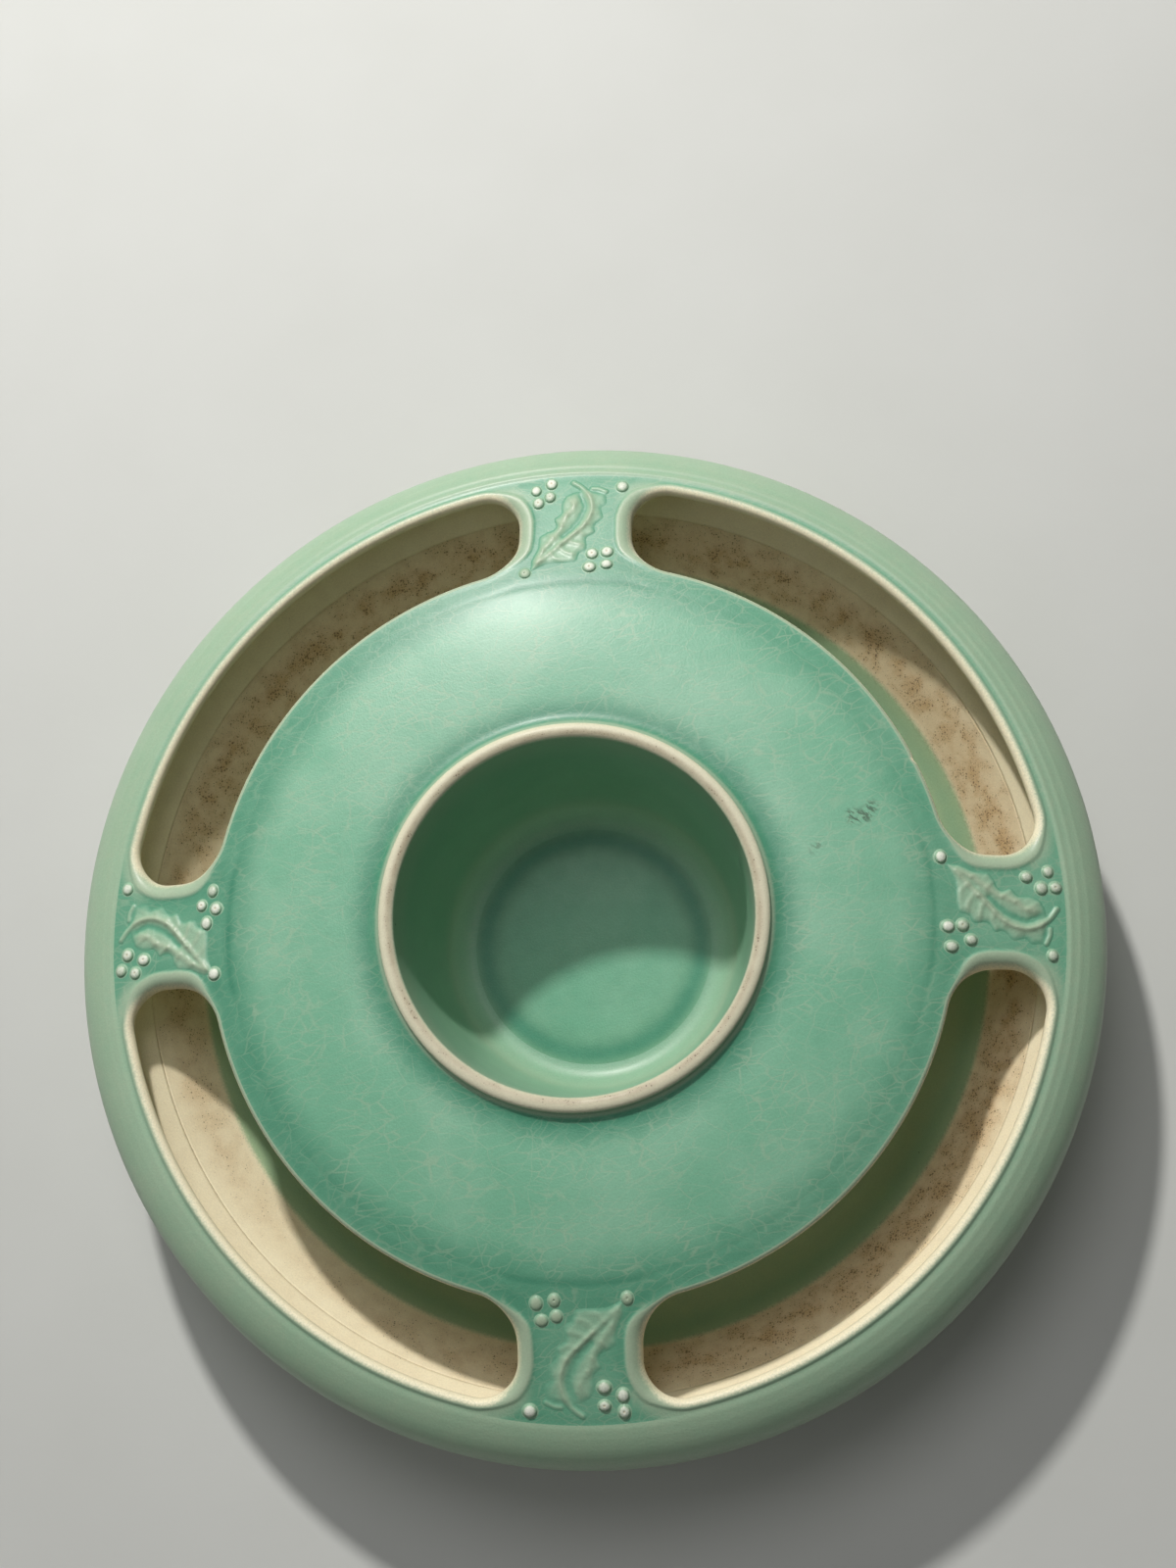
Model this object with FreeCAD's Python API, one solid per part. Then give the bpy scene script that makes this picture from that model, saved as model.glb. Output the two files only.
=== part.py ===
import FreeCAD, Part
import math
import os

# Round pottery flower frog: a shallow bowl with a pierced cover luted over it.
# Stems stand in four arc slots round the edge of the cover and in the open
# well at its centre.  Frame: +Z up, origin on the table under the well's axis.
# All sizes in millimetres.  Radii are from the well's axis.

# ---- driving dimensions --------------------------------------------------
HEIGHT = 62.0            # table to the top of the well's rim
BODY_R = 125.0           # widest radius, at the shoulder
BODY_R_Z = 38.0          # height of the widest radius
JOINT_Z = 33.0           # plane where the cover is luted to the bowl
JOINT_IN_R = 109.3       # inner radius of that joint
JOINT_OUT_R = 124.4      # outer radius of that joint

FOOT_H = 5.0             # foot ring, table to the bowl's underside
FOOT_OUT_R = 84.0
FOOT_IN_R = 75.5
FOOT_EDGE = 1.2          # bevel of the foot ring's worn edges
FLOOR_Z = 11.0           # inside floor of the bowl, also the floor of the well
FLOOR_R = 84.0           # radius where the floor turns up into the cove

RIM_OUT_R = 46.0         # well: outside radius where it passes the cover
RIM_IN_R = 42.2          # well: inside radius at the rim
WELL_FOOT_OUT_R = 43.5
WELL_FOOT_IN_R = 33.5
RIM_ROUND_Z = HEIGHT - 1.9

DISC_Z = 58.9            # flat part of the cover's disc, round the well
DISC_FLAT_R = 62.0       # from here the disc rounds down towards the panels
DISC_MID_R = 73.5        # a point on that rounding
DISC_MID_Z = 58.2
STEP_R = 83.6            # the rounding ends in a faint step, where the panels start
STEP_Z = 56.3
GROOVE_R = 113.8         # groove between the bridges' panels and the shoulder
GROOVE_Z = 47.9
DECK_T = 5.2             # thickness of the cover between well and shoulder

RIB_COUNT = 3            # fine concentric ribs on the shoulder
RIB_PITCH = 2.3
RIB_H = 0.25

SLOT_IN_R = 88.5
SLOT_OUT_R = 111.0
SLOT_CORNER_IN = 12.0    # plan radius of a slot's corners next to the disc
SLOT_CORNER_OUT = 8.5    # plan radius of a slot's corners next to the shoulder
SLOT_LIP = 1.6           # rounding of a slot's upper edge

# bridge name, direction of its middle in degrees, half its width
BRIDGES = [
    ("east", 0.4, 13.5),
    ("north", 90.4, 14.2),
    ("west", 181.2, 12.8),
    ("south", 270.4, 14.3),
]

LEAF_H = 0.9             # relief of a leaf above the panel
MIDRIB_H = 1.5
MIDRIB_W = 1.5
BERRY_R = 1.5
BERRY_SINK = 0.35        # how far a berry's centre lies below the panel

# Leaf relief on a bridge that points along +X: x runs outward along the
# bridge, y across it.  Lobes and notches in order round the leaf.
LEAF_OUTLINE = [
    (86.4, 11.0), (90.0, 10.2), (93.4, 8.9), (96.4, 8.8), (97.8, 6.8),
    (98.9, 4.5), (101.6, 5.1), (103.4, 3.3), (105.8, 3.5), (108.0, 2.5),
    (109.4, 0.4), (109.6, -2.0), (109.6, -4.6), (108.6, -7.8), (105.8, -8.2),
    (104.2, -6.8), (101.6, -7.4), (99.6, -5.4), (97.2, -5.2), (95.6, -3.2),
    (92.4, -3.2), (91.2, -1.4), (88.9, -0.6), (88.6, 2.8), (88.2, 7.0),
]
MIDRIB_LINE = [
    (94.0, 3.2), (96.4, 0.6), (99.0, -2.2), (102.0, -3.9),
    (105.0, -4.4), (108.0, -3.6), (110.5, -1.8), (112.2, 0.4),
]

# Berries were pressed by hand, so each bridge has its own places for them:
# one at the leaf's tip, four beside its stem, four below the leaf, one more.
BERRIES = {
    "east": [
        (85.5, 12.2), (105.4, 7.8), (110.6, 9.2), (108.8, 5.2), (112.2, 5.4),
        (86.4, -4.1), (89.8, -3.8), (91.6, -7.2), (87.0, -8.8), (110.5, -10.6),
    ],
    "north": [
        (86.2, 12.0), (106.5, 9.2), (110.2, 9.9), (108.2, 6.3), (112.1, 6.0),
        (87.2, -4.0), (91.0, -4.6), (87.8, -8.2), (91.4, -8.3), (110.5, -11.9),
    ],
    "west": [
        (86.8, 10.3), (105.8, 5.6), (108.0, 8.7), (110.2, 4.2), (111.9, 7.9),
        (89.1, -2.0), (86.7, -5.4), (90.5, -6.4), (87.7, -9.8), (110.9, -12.2),
    ],
    "south": [
        (86.5, 11.3), (105.9, 5.5), (107.6, 9.7), (111.2, 9.9), (109.9, 5.5),
        (86.9, -5.2), (90.4, -4.8), (87.5, -9.3), (91.3, -8.2), (111.1, -11.5),
    ],
}


# ---- helpers -------------------------------------------------------------
def at(r, z):
    """A point of a profile in the XZ plane."""
    return FreeCAD.Vector(r, 0, z)


def line(a, b):
    return Part.makeLine(at(*a), at(*b))


def arc(a, middle, b):
    return Part.Arc(at(*a), at(*middle), at(*b)).toShape()


def smooth(points):
    """A smooth curve through profile points."""
    curve = Part.BSplineCurve()
    curve.interpolate([at(*p) for p in points])
    return curve.toShape()


def turned(edges):
    """Solid of revolution of a closed profile."""
    face = Part.Face(Part.Wire(edges))
    solid = face.revolve(FreeCAD.Vector(0, 0, 0), FreeCAD.Vector(0, 0, 1), 360)
    return solid if solid.ShapeType == "Solid" else Part.makeSolid(solid.Shells[0])


def turned_about_z(shape, degrees):
    copy = shape.copy()
    copy.rotate(FreeCAD.Vector(0, 0, 0), FreeCAD.Vector(0, 0, 1), degrees)
    return copy


def panel_z(r):
    """Height of the cover's upper face on the bridges' panels."""
    return STEP_Z + (GROOVE_Z - STEP_Z) * (r - STEP_R) / (GROOVE_R - STEP_R)


# ---- the cover -----------------------------------------------------------
def shoulder_edges():
    """From the groove over the ribs to the joint plane, outside."""
    end = (BODY_R, BODY_R_Z)
    edges = []
    start = (GROOVE_R, GROOVE_Z)
    r, z = start
    for i in range(RIB_COUNT):
        fall = 0.35 + 0.28 * i
        nxt = (r + RIB_PITCH, z - RIB_PITCH * fall + (0.6 if i == 0 else 0.0))
        middle = ((r + nxt[0]) / 2 + RIB_H * fall, (z + nxt[1]) / 2 + RIB_H)
        edges.append(arc((r, z), middle, nxt))
        r, z = nxt
    bulge = (r + 0.62 * (end[0] - r), z - 0.36 * (z - end[1]))
    edges.append(arc((r, z), bulge, end))
    edges.append(arc(end, (BODY_R - 0.15, BODY_R_Z - 2.6), (JOINT_OUT_R, JOINT_Z)))
    return edges


def cover_blank():
    """The cover before its slots are cut."""
    hole_top = (RIM_OUT_R, DISC_Z + 1.1)
    fillet_end = (RIM_OUT_R + 4.5, DISC_Z)
    disc_edge = (DISC_FLAT_R, DISC_Z)
    under_slot = (SLOT_OUT_R, panel_z(SLOT_OUT_R) - DECK_T)
    under_step = (STEP_R, STEP_Z - DECK_T)
    pocket = (JOINT_IN_R + 4.4, JOINT_Z + 7.0)
    edges = [
        arc(hole_top, (RIM_OUT_R + 1.5, DISC_Z + 0.35), fillet_end),
        line(fillet_end, disc_edge),
        arc(disc_edge, (DISC_MID_R, DISC_MID_Z), (STEP_R, STEP_Z)),
        line((STEP_R, STEP_Z), (GROOVE_R, GROOVE_Z)),
    ]
    edges += shoulder_edges()
    edges += [
        line((JOINT_OUT_R, JOINT_Z), (JOINT_IN_R, JOINT_Z)),
        line((JOINT_IN_R, JOINT_Z), pocket),
        arc(pocket, (pocket[0] + 0.1, pocket[1] + 2.2), under_slot),
        line(under_slot, under_step),
        line(under_step, (RIM_OUT_R, DISC_Z - DECK_T)),
        line((RIM_OUT_R, DISC_Z - DECK_T), hole_top),
    ]
    return turned(edges)


def slot_cutter(start_bridge, end_bridge):
    """Prism of one arc slot between two neighbouring bridges."""
    def corner(bridge, radius, side):
        _, middle, half = bridge
        a = math.radians(middle) + side * math.asin(half / radius)
        return FreeCAD.Vector(radius * math.cos(a), radius * math.sin(a), 0)

    def ring_arc(a, b, radius):
        mid = a + b
        mid.normalize()
        return Part.Arc(a, mid * radius, b).toShape()

    in_a = corner(start_bridge, SLOT_IN_R, 1)
    in_b = corner(end_bridge, SLOT_IN_R, -1)
    out_a = corner(start_bridge, SLOT_OUT_R, 1)
    out_b = corner(end_bridge, SLOT_OUT_R, -1)
    wire = Part.Wire([
        ring_arc(in_a, in_b, SLOT_IN_R),
        Part.makeLine(in_b, out_b),
        ring_arc(out_b, out_a, SLOT_OUT_R),
        Part.makeLine(out_a, in_a),
    ])
    prism = Part.Face(wire).extrude(FreeCAD.Vector(0, 0, HEIGHT))

    def corner_edges(radius):
        found = []
        for edge in prism.Edges:
            ends = [v.Point for v in edge.Vertexes]
            upright = abs(ends[0].z - ends[-1].z) > HEIGHT / 2
            if upright and abs(math.hypot(ends[0].x, ends[0].y) - radius) < 0.01:
                found.append(edge)
        return found

    prism = prism.makeFillet(SLOT_CORNER_OUT, corner_edges(SLOT_OUT_R))
    prism = prism.makeFillet(SLOT_CORNER_IN, corner_edges(SLOT_IN_R))
    return prism


def pierced_cover():
    """The cover with its four slots cut and their upper edges rounded."""
    cover = cover_blank()
    for i, bridge in enumerate(BRIDGES):
        following = BRIDGES[(i + 1) % len(BRIDGES)]
        cutter = slot_cutter(bridge, following)
        cutter.translate(FreeCAD.Vector(0, 0, JOINT_Z + 1.0))
        cover = cover.cut(cutter)
    lips = []
    for edge in cover.Edges:
        radii = [math.hypot(v.Point.x, v.Point.y) for v in edge.Vertexes]
        heights = [v.Point.z - panel_z(r) for v, r in zip(edge.Vertexes, radii)]
        in_slot = all(SLOT_IN_R - 0.1 < r < SLOT_OUT_R + 0.1 for r in radii)
        on_panel = all(abs(h) < 0.1 for h in heights)
        if in_slot and on_panel:
            lips.append(edge)
    return cover.makeFillet(SLOT_LIP, lips)


# ---- the bowl and its foot -----------------------------------------------
def lower_bowl():
    outside = [(JOINT_OUT_R, JOINT_Z), (120.2, 24.4), (110.4, 15.2), (FOOT_OUT_R, FOOT_H)]
    cove_top = (99.5, 21.8)
    edges = [
        smooth(outside),
        line((FOOT_OUT_R, FOOT_H), (0, FOOT_H)),
        line((0, FOOT_H), (0, FLOOR_Z)),
        line((0, FLOOR_Z), (FLOOR_R, FLOOR_Z)),
        arc((FLOOR_R, FLOOR_Z), (92.8, 14.6), cove_top),
        line(cove_top, (JOINT_IN_R, JOINT_Z)),
        line((JOINT_IN_R, JOINT_Z), (JOINT_OUT_R, JOINT_Z)),
    ]
    return turned(edges)


def foot_ring():
    corners = [
        (FOOT_IN_R, FOOT_H), (FOOT_OUT_R, FOOT_H),
        (FOOT_OUT_R - 0.6, FOOT_EDGE), (FOOT_OUT_R - 0.6 - FOOT_EDGE, 0),
        (FOOT_IN_R + 0.6 + FOOT_EDGE, 0), (FOOT_IN_R + 0.6, FOOT_EDGE),
    ]
    count = len(corners)
    return turned([line(corners[i], corners[(i + 1) % count]) for i in range(count)])


def centre_well():
    """Tapered open tube standing on the bowl's floor, up through the cover."""
    collar_z = DISC_Z - DECK_T
    rim_mid = ((RIM_OUT_R + RIM_IN_R) / 2, HEIGHT)
    edges = [
        line((RIM_OUT_R, collar_z), (RIM_OUT_R, RIM_ROUND_Z)),
        arc((RIM_OUT_R, RIM_ROUND_Z), rim_mid, (RIM_IN_R, RIM_ROUND_Z)),
        line((RIM_IN_R, RIM_ROUND_Z), (39.0, 21.0)),
        arc((39.0, 21.0), (37.2, 14.6), (WELL_FOOT_IN_R, FLOOR_Z)),
        line((WELL_FOOT_IN_R, FLOOR_Z), (WELL_FOOT_OUT_R, FLOOR_Z)),
        line((WELL_FOOT_OUT_R, FLOOR_Z), (RIM_OUT_R, collar_z)),
    ]
    return turned(edges)


# ---- relief on the bridges -----------------------------------------------
def panel_layer(thickness):
    """The space from the panels' face up to thickness above it."""
    low = [(STEP_R - 2, panel_z(STEP_R - 2)), (GROOVE_R + 2, panel_z(GROOVE_R + 2))]
    high = [(r, z + thickness) for r, z in reversed(low)]
    ring = low + high
    return turned([line(ring[i], ring[(i + 1) % 4]) for i in range(4)])


def closed_prism(points):
    """Upright prism over a smooth closed outline."""
    curve = Part.BSplineCurve()
    curve.interpolate([FreeCAD.Vector(x, y, 0) for x, y in points], PeriodicFlag=True)
    face = Part.Face(Part.Wire([curve.toShape()]))
    return face.extrude(FreeCAD.Vector(0, 0, HEIGHT + 10))


def midrib_outline():
    """A tapering band along the leaf's middle line."""
    left = []
    right = []
    count = len(MIDRIB_LINE)
    for i, (x, y) in enumerate(MIDRIB_LINE):
        before = MIDRIB_LINE[max(i - 1, 0)]
        after = MIDRIB_LINE[min(i + 1, count - 1)]
        dx, dy = after[0] - before[0], after[1] - before[1]
        size = math.hypot(dx, dy)
        half = MIDRIB_W / 2 * (0.45 + 0.55 * i / (count - 1))
        left.append((x - dy / size * half, y + dx / size * half))
        right.append((x + dy / size * half, y - dx / size * half))
    return left + right[::-1]


def leaf_relief():
    """Leaf with a raised middle rib, on a bridge that points along +X."""
    blade = closed_prism(LEAF_OUTLINE).common(panel_layer(LEAF_H))
    midrib = closed_prism(midrib_outline()).common(panel_layer(MIDRIB_H))
    return blade.fuse(midrib).removeSplitter().Solids[0]


def berry_domes(bridge):
    """Ten small domes, separate solids, turned so that the bridge points along +X."""
    above_panel = panel_layer(2 * BERRY_R)
    domes = []
    for x, y in BERRIES[bridge]:
        z = panel_z(math.hypot(x, y)) - BERRY_SINK
        ball = Part.makeSphere(BERRY_R, FreeCAD.Vector(x, y, z))
        domes.append(ball.common(above_panel).Solids[0])
    return Part.makeCompound(domes)


# ---- write the parts -----------------------------------------------------
def main():
    parts = {
        "lower_bowl": lower_bowl(),
        "foot_ring": foot_ring(),
        "pierced_cover": pierced_cover(),
        "centre_well": centre_well(),
    }
    for name, direction, _ in BRIDGES:
        parts["leaf_" + name] = turned_about_z(leaf_relief(), direction)
        parts["berries_" + name] = turned_about_z(berry_domes(name), direction)
    os.makedirs("parts", exist_ok=True)
    for name, shape in parts.items():
        shape.exportStep("parts/" + name + ".step")
        print(name, "valid", shape.isValid(), "solids", len(shape.Solids),
              "volume", round(shape.Volume, 1))


main()
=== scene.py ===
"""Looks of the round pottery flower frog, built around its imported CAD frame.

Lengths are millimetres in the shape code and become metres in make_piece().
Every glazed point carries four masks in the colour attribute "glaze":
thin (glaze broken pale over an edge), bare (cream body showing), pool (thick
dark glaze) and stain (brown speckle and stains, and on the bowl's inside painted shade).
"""

import math
import random

import bmesh
import bpy
import numpy as np
from mathutils import Matrix, Vector
from mathutils.geometry import delaunay_2d_cdt


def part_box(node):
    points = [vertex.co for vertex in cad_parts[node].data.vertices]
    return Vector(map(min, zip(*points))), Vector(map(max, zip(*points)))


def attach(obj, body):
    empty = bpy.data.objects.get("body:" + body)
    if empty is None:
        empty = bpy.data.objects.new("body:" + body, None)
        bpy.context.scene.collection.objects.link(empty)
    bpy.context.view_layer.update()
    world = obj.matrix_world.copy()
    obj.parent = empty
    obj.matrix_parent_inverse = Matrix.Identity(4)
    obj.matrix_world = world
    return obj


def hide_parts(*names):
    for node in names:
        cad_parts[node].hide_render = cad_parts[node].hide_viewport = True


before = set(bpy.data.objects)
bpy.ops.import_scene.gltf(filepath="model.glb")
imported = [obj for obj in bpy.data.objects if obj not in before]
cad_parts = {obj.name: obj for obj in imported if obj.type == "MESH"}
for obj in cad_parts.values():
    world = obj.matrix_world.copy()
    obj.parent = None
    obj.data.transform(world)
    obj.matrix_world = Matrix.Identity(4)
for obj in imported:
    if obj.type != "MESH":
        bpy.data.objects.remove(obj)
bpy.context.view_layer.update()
MM = 0.001


def node_box(name):
    """A CAD node's lowest and highest corner in millimetres."""
    low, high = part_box(name)
    return Vector(low) / MM, Vector(high) / MM


# ---- sizes from the frame --------------------------------------------------
COVER_LOW, COVER_HIGH = node_box("pierced_cover")
WELL_LOW, WELL_HIGH = node_box("centre_well")
FOOT_HIGH = node_box("foot_ring")[1]
BODY_R = COVER_HIGH.x
JOINT_Z = COVER_LOW.z
RIM_Z = WELL_HIGH.z
RIM_OUT_R = WELL_HIGH.x
FLOOR_Z = WELL_LOW.z
FOOT_OUT_R = FOOT_HIGH.x
FOOT_H = FOOT_HIGH.z

# ---- sizes of the visible shapes ------------------------------------------
BODY_R_Z = 38.0          # height of the widest radius
JOINT_IN_R = 109.3       # the luted joint, inside and outside
JOINT_OUT_R = 124.4
DECK_T = 5.2             # thickness of the cover
COLLAR_R = 49.8          # end of the clay fillet round the well's rim
COLLAR_H = 1.7           # how far the fillet climbs the well's rim
COLLAR_IN_R = RIM_OUT_R - 0.3
DISC_Z = RIM_Z - 3.1     # the disc's highest part
DISC_FLAT_R = 52.0       # from here the disc rounds down towards the panels
STEP_R = 83.4            # the panels of the bridges start here
STEP_Z = RIM_Z - 6.3
GROOVE_R = 113.8         # groove between the bridges' panels and the shoulder
GROOVE_Z = RIM_Z - 14.1
FILLET_R = 30.2          # where the well's wall begins to rise from the floor
POOL_R = 27.8            # ring of deep glaze pooled on the floor of the well
GREEN_END_R = 97.2       # inside the bowl the green fades from here to the cream
CREAM_R = 101.4
SPECKLED_R = 104.8       # middle of the speckled band on the cream
UNSHADED_AT = (-0.70, -0.72)    # direction in which the cream is left unshaded, as a point of the unit circle; elsewhere shade is painted on in brown
RIBS = ((115.4, 0.22, 0.6), (117.6, 0.17, 0.6), (119.9, 0.13, 0.6))  # radius, height, half width
GROOVE_DEPTH = 0.10
RIM_IN_R = 42.2
RIM_ROUND_Z = RIM_Z - 1.9    # the rim's crown starts here
WELL_FOOT_OUT_R = 43.5
WELL_FOOT_IN_R = 33.5
SLOT_IN_R = 88.5         # edges of the slots, and the radii of their corners
SLOT_OUT_R = 111.0
SLOT_CORNER_IN = 12.0
SLOT_CORNER_OUT = 8.5
UNDERCUT = 2.6           # how far a slot's wall leans back under its lip
SHEET_IN_R = 84.2        # the triangulated part of the cover, round the slots
SHEET_OUT_R = 114.2      # outside the widest lip
SHEET_UNDER_R = 114.3    # the same, on the cover's lower face
SEGMENTS = 720           # points round the axis
ARC_STEP = 0.7           # spacing of the points on an arc
LOOP_STEP = 0.65         # spacing of the points on a slot's outline
WELD = 0.003             # points closer than this become one
CHIP_AT = (79.8, 36.4)   # small chip in a slot's inner edge
SMUDGES = ((70.0, 24.8, 0.75), (68.6, 22.2, 0.7), (65.0, 22.9, 0.6), (65.8, 21.4, 0.6),
           (57.5, 15.8, 0.5), (55.6, 14.0, 0.45))   # x, y, strength

# direction in degrees and half width of each bridge
BRIDGES = {"east": (0.4, 13.5), "north": (90.4, 14.2), "west": (181.2, 12.8), "south": (270.4, 14.3)}

# ---- relief on a bridge that points along +X: x outward, y across ----------
LEAF_H = 0.34
LEAF_OUTLINE = [
    (86.4, 11.0), (90.0, 10.2), (93.4, 8.9), (96.4, 8.8), (97.8, 6.8),
    (98.9, 4.5), (101.6, 5.1), (103.4, 3.3), (105.8, 3.5), (108.0, 2.5),
    (109.4, 0.4), (109.6, -2.0), (109.6, -4.6), (108.6, -7.8), (105.8, -8.2),
    (104.2, -6.8), (101.6, -7.4), (99.6, -5.4), (97.2, -5.2), (95.6, -3.2),
    (92.4, -3.2), (91.2, -1.4), (88.9, -0.6), (88.6, 2.8), (88.2, 7.0),
]
# each stroke: points, height, half width
LEAF_STROKES = [
    ([(94.0, 3.2), (96.4, 0.6), (99.0, -2.2), (102.0, -3.9), (105.0, -4.4),
      (108.0, -3.6), (110.5, -1.8), (112.2, 0.4)], 0.52, 0.66),
    ([(87.4, 9.8), (90.6, 6.9), (94.0, 3.2)], 0.26, 0.70),
    ([(89.4, 9.2), (92.8, 7.4), (96.0, 5.0), (99.2, 3.2), (102.2, 2.0),
      (104.6, 0.3), (106.8, -0.2)], 0.34, 0.95),
    ([(110.3, -4.4), (110.1, -6.0), (109.2, -7.8)], 0.40, 0.60),
    ([(92.4, 7.6), (94.6, 8.9)], 0.16, 0.55),
    ([(96.0, 5.2), (97.8, 7.0)], 0.18, 0.55),
    ([(99.4, 3.2), (101.6, 4.9)], 0.20, 0.55),
    ([(102.4, 1.9), (104.6, 3.5)], 0.20, 0.55),
    ([(105.4, 0.2), (108.0, 1.9)], 0.18, 0.60),
    ([(91.6, 5.9), (89.8, 4.2), (89.0, 1.6)], 0.18, 0.65),
    ([(93.2, 4.0), (91.4, 1.4), (91.0, -0.8)], 0.20, 0.65),
    ([(95.2, 1.8), (94.0, -0.8), (93.8, -2.8)], 0.20, 0.65),
    ([(97.4, -0.7), (96.8, -3.0), (97.4, -4.8)], 0.17, 0.65),
    ([(99.8, -2.8), (99.9, -4.8), (101.0, -6.6)], 0.15, 0.65),
    ([(102.6, -4.2), (103.2, -6.2), (105.0, -7.8)], 0.14, 0.65),
    ([(96.4, 2.8), (99.0, 0.2), (102.0, -1.6), (105.0, -2.5), (108.0, -1.4)], -0.34, 0.95),
    ([(91.0, 7.6), (93.6, 5.4)], -0.12, 0.50),
]
# rib down the middle of the leaf: x, y
LEAF_MIDDLE = ((94.0, 3.2), (96.4, 0.6), (99.0, -2.2), (102.0, -3.9), (105.0, -4.4), (108.0, -3.6),
               (110.5, -1.8))
BERRY_R = 1.5
BERRY_H = 0.88
# bridge and number of the berries that the glaze almost covers
FAINT_BERRIES = {("south", 5), ("south", 6), ("south", 7), ("south", 8), ("south", 0), ("north", 0)}
BERRIES = {
    "east": [
        (85.5, 12.2), (105.4, 7.8), (110.6, 9.2), (108.8, 5.2), (112.2, 5.4),
        (86.4, -4.1), (89.8, -3.8), (91.6, -7.2), (87.0, -8.8), (110.5, -10.6),
    ],
    "north": [
        (86.2, 12.0), (106.5, 9.2), (110.2, 9.9), (108.2, 6.3), (112.1, 6.0),
        (87.2, -4.0), (91.0, -4.6), (87.8, -8.2), (91.4, -8.3), (110.5, -11.9),
    ],
    "west": [
        (86.8, 10.3), (105.8, 5.6), (108.0, 8.7), (110.2, 4.2), (111.9, 7.9),
        (89.1, -2.0), (86.7, -5.4), (90.5, -6.4), (87.7, -9.8), (110.9, -12.2),
    ],
    "south": [
        (86.5, 11.3), (105.9, 5.5), (107.6, 9.7), (111.2, 9.9), (109.9, 5.5),
        (86.9, -5.2), (90.4, -4.8), (87.5, -9.3), (91.3, -8.2), (111.1, -11.5),
    ],
}


# ---- small maths -----------------------------------------------------------
def smoothstep(low, high, x):
    """0 at low, 1 at high, with a smooth run between them."""
    t = np.clip((np.asarray(x, float) - low) / (high - low), 0.0, 1.0)
    return t * t * (3.0 - 2.0 * t)


def bell(x, centre, half_width):
    """1 at the centre, fading on both sides."""
    return np.exp(-(((np.asarray(x, float) - centre) / half_width) ** 2))


def catmull(points, per_span):
    """Smooth curve through the points, as a dense array."""
    p = np.array(points, float)
    ends = np.vstack([2 * p[0] - p[1], p, 2 * p[-1] - p[-2]])
    rows = []
    for i in range(len(p) - 1):
        a, b, c, d = ends[i:i + 4]
        for k in range(per_span):
            t = k / per_span
            rows.append(0.5 * (2 * b + (c - a) * t + (2 * a - 5 * b + 4 * c - d) * t * t
                               + (3 * b - a - 3 * c + d) * t ** 3))
    rows.append(p[-1])
    return np.array(rows)


def distance_to_line(x, y, line):
    """Distance of each point to an open line of points."""
    best = np.full(np.shape(x), 1e9)
    for (ax, ay), (bx, by) in zip(line[:-1], line[1:]):
        dx, dy = bx - ax, by - ay
        size = dx * dx + dy * dy + 1e-12
        t = np.clip(((x - ax) * dx + (y - ay) * dy) / size, 0.0, 1.0)
        best = np.minimum(best, np.hypot(x - ax - t * dx, y - ay - t * dy))
    return best


def inside(x, y, loop):
    """True where a point lies inside a closed loop."""
    hit = np.zeros(np.shape(x), bool)
    for (ax, ay), (bx, by) in zip(loop, np.roll(loop, -1, axis=0)):
        if ay == by:
            continue
        crosses = (ay > y) != (by > y)
        hit ^= crosses & (x < (bx - ax) * (y - ay) / (by - ay) + ax)
    return hit


def turned(x, y, degrees):
    """Points turned about the axis."""
    a = math.radians(degrees)
    return x * math.cos(a) - y * math.sin(a), x * math.sin(a) + y * math.cos(a)


# ---- meshes ----------------------------------------------------------------
class Shell:
    """Points, masks and faces of one piece, in millimetres."""

    def __init__(self):
        self.points = []
        self.masks = []
        self.faces = []

    def add(self, points, masks):
        """Adds points and returns the index of the first."""
        first = len(self.points)
        self.points.extend(map(tuple, points))
        self.masks.extend(map(tuple, masks))
        return first

    def join_rings(self, first, second, count):
        """Quads between two rings of count points, given their first indices."""
        for i in range(count):
            j = (i + 1) % count
            self.faces.append((first + i, first + j, second + j, second + i))


def lathe(shell, rows):
    """Turns rows of (r, z, masks) about the axis; z and masks may vary with the segment."""
    angles = np.arange(SEGMENTS) * 2 * math.pi / SEGMENTS
    before = None
    for r, z, masks in rows:
        points = np.stack([r * np.cos(angles), r * np.sin(angles), np.broadcast_to(z, SEGMENTS)], 1)
        ring = shell.add(points, np.broadcast_to(masks, (SEGMENTS, 4)))
        if before is not None:
            shell.join_rings(before, ring, SEGMENTS)
        before = ring


def rows_of(points, thin=0.0, bare=0.0, pool=0.0, stain_and_shade=0.0):
    """Rows for lathe() from (r, z) points that share their masks."""
    return [(float(r), float(z), (thin, bare, pool, stain_and_shade)) for r, z in points]


def make_piece(name, shell, material, node):
    """Blender object of a shell, welded and smooth, that replaces a CAD node on the root body."""
    mesh = bpy.data.meshes.new(name)
    mesh.from_pydata([tuple(c * MM for c in p) for p in shell.points], [], shell.faces)
    glaze = mesh.color_attributes.new("glaze", "FLOAT_COLOR", "POINT")
    glaze.data.foreach_set("color", np.array(shell.masks, np.float32).ravel())
    work = bmesh.new()
    work.from_mesh(mesh)
    bmesh.ops.remove_doubles(work, verts=work.verts, dist=WELD * MM)
    bmesh.ops.dissolve_degenerate(work, edges=work.edges, dist=WELD / 3 * MM)
    bmesh.ops.recalc_face_normals(work, faces=work.faces)
    work.to_mesh(mesh)
    work.free()
    mesh.shade_smooth()
    mesh.materials.append(material)
    piece = bpy.data.objects.new(name, mesh)
    bpy.context.scene.collection.objects.link(piece)
    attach(piece, "root")
    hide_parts(node)


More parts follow.
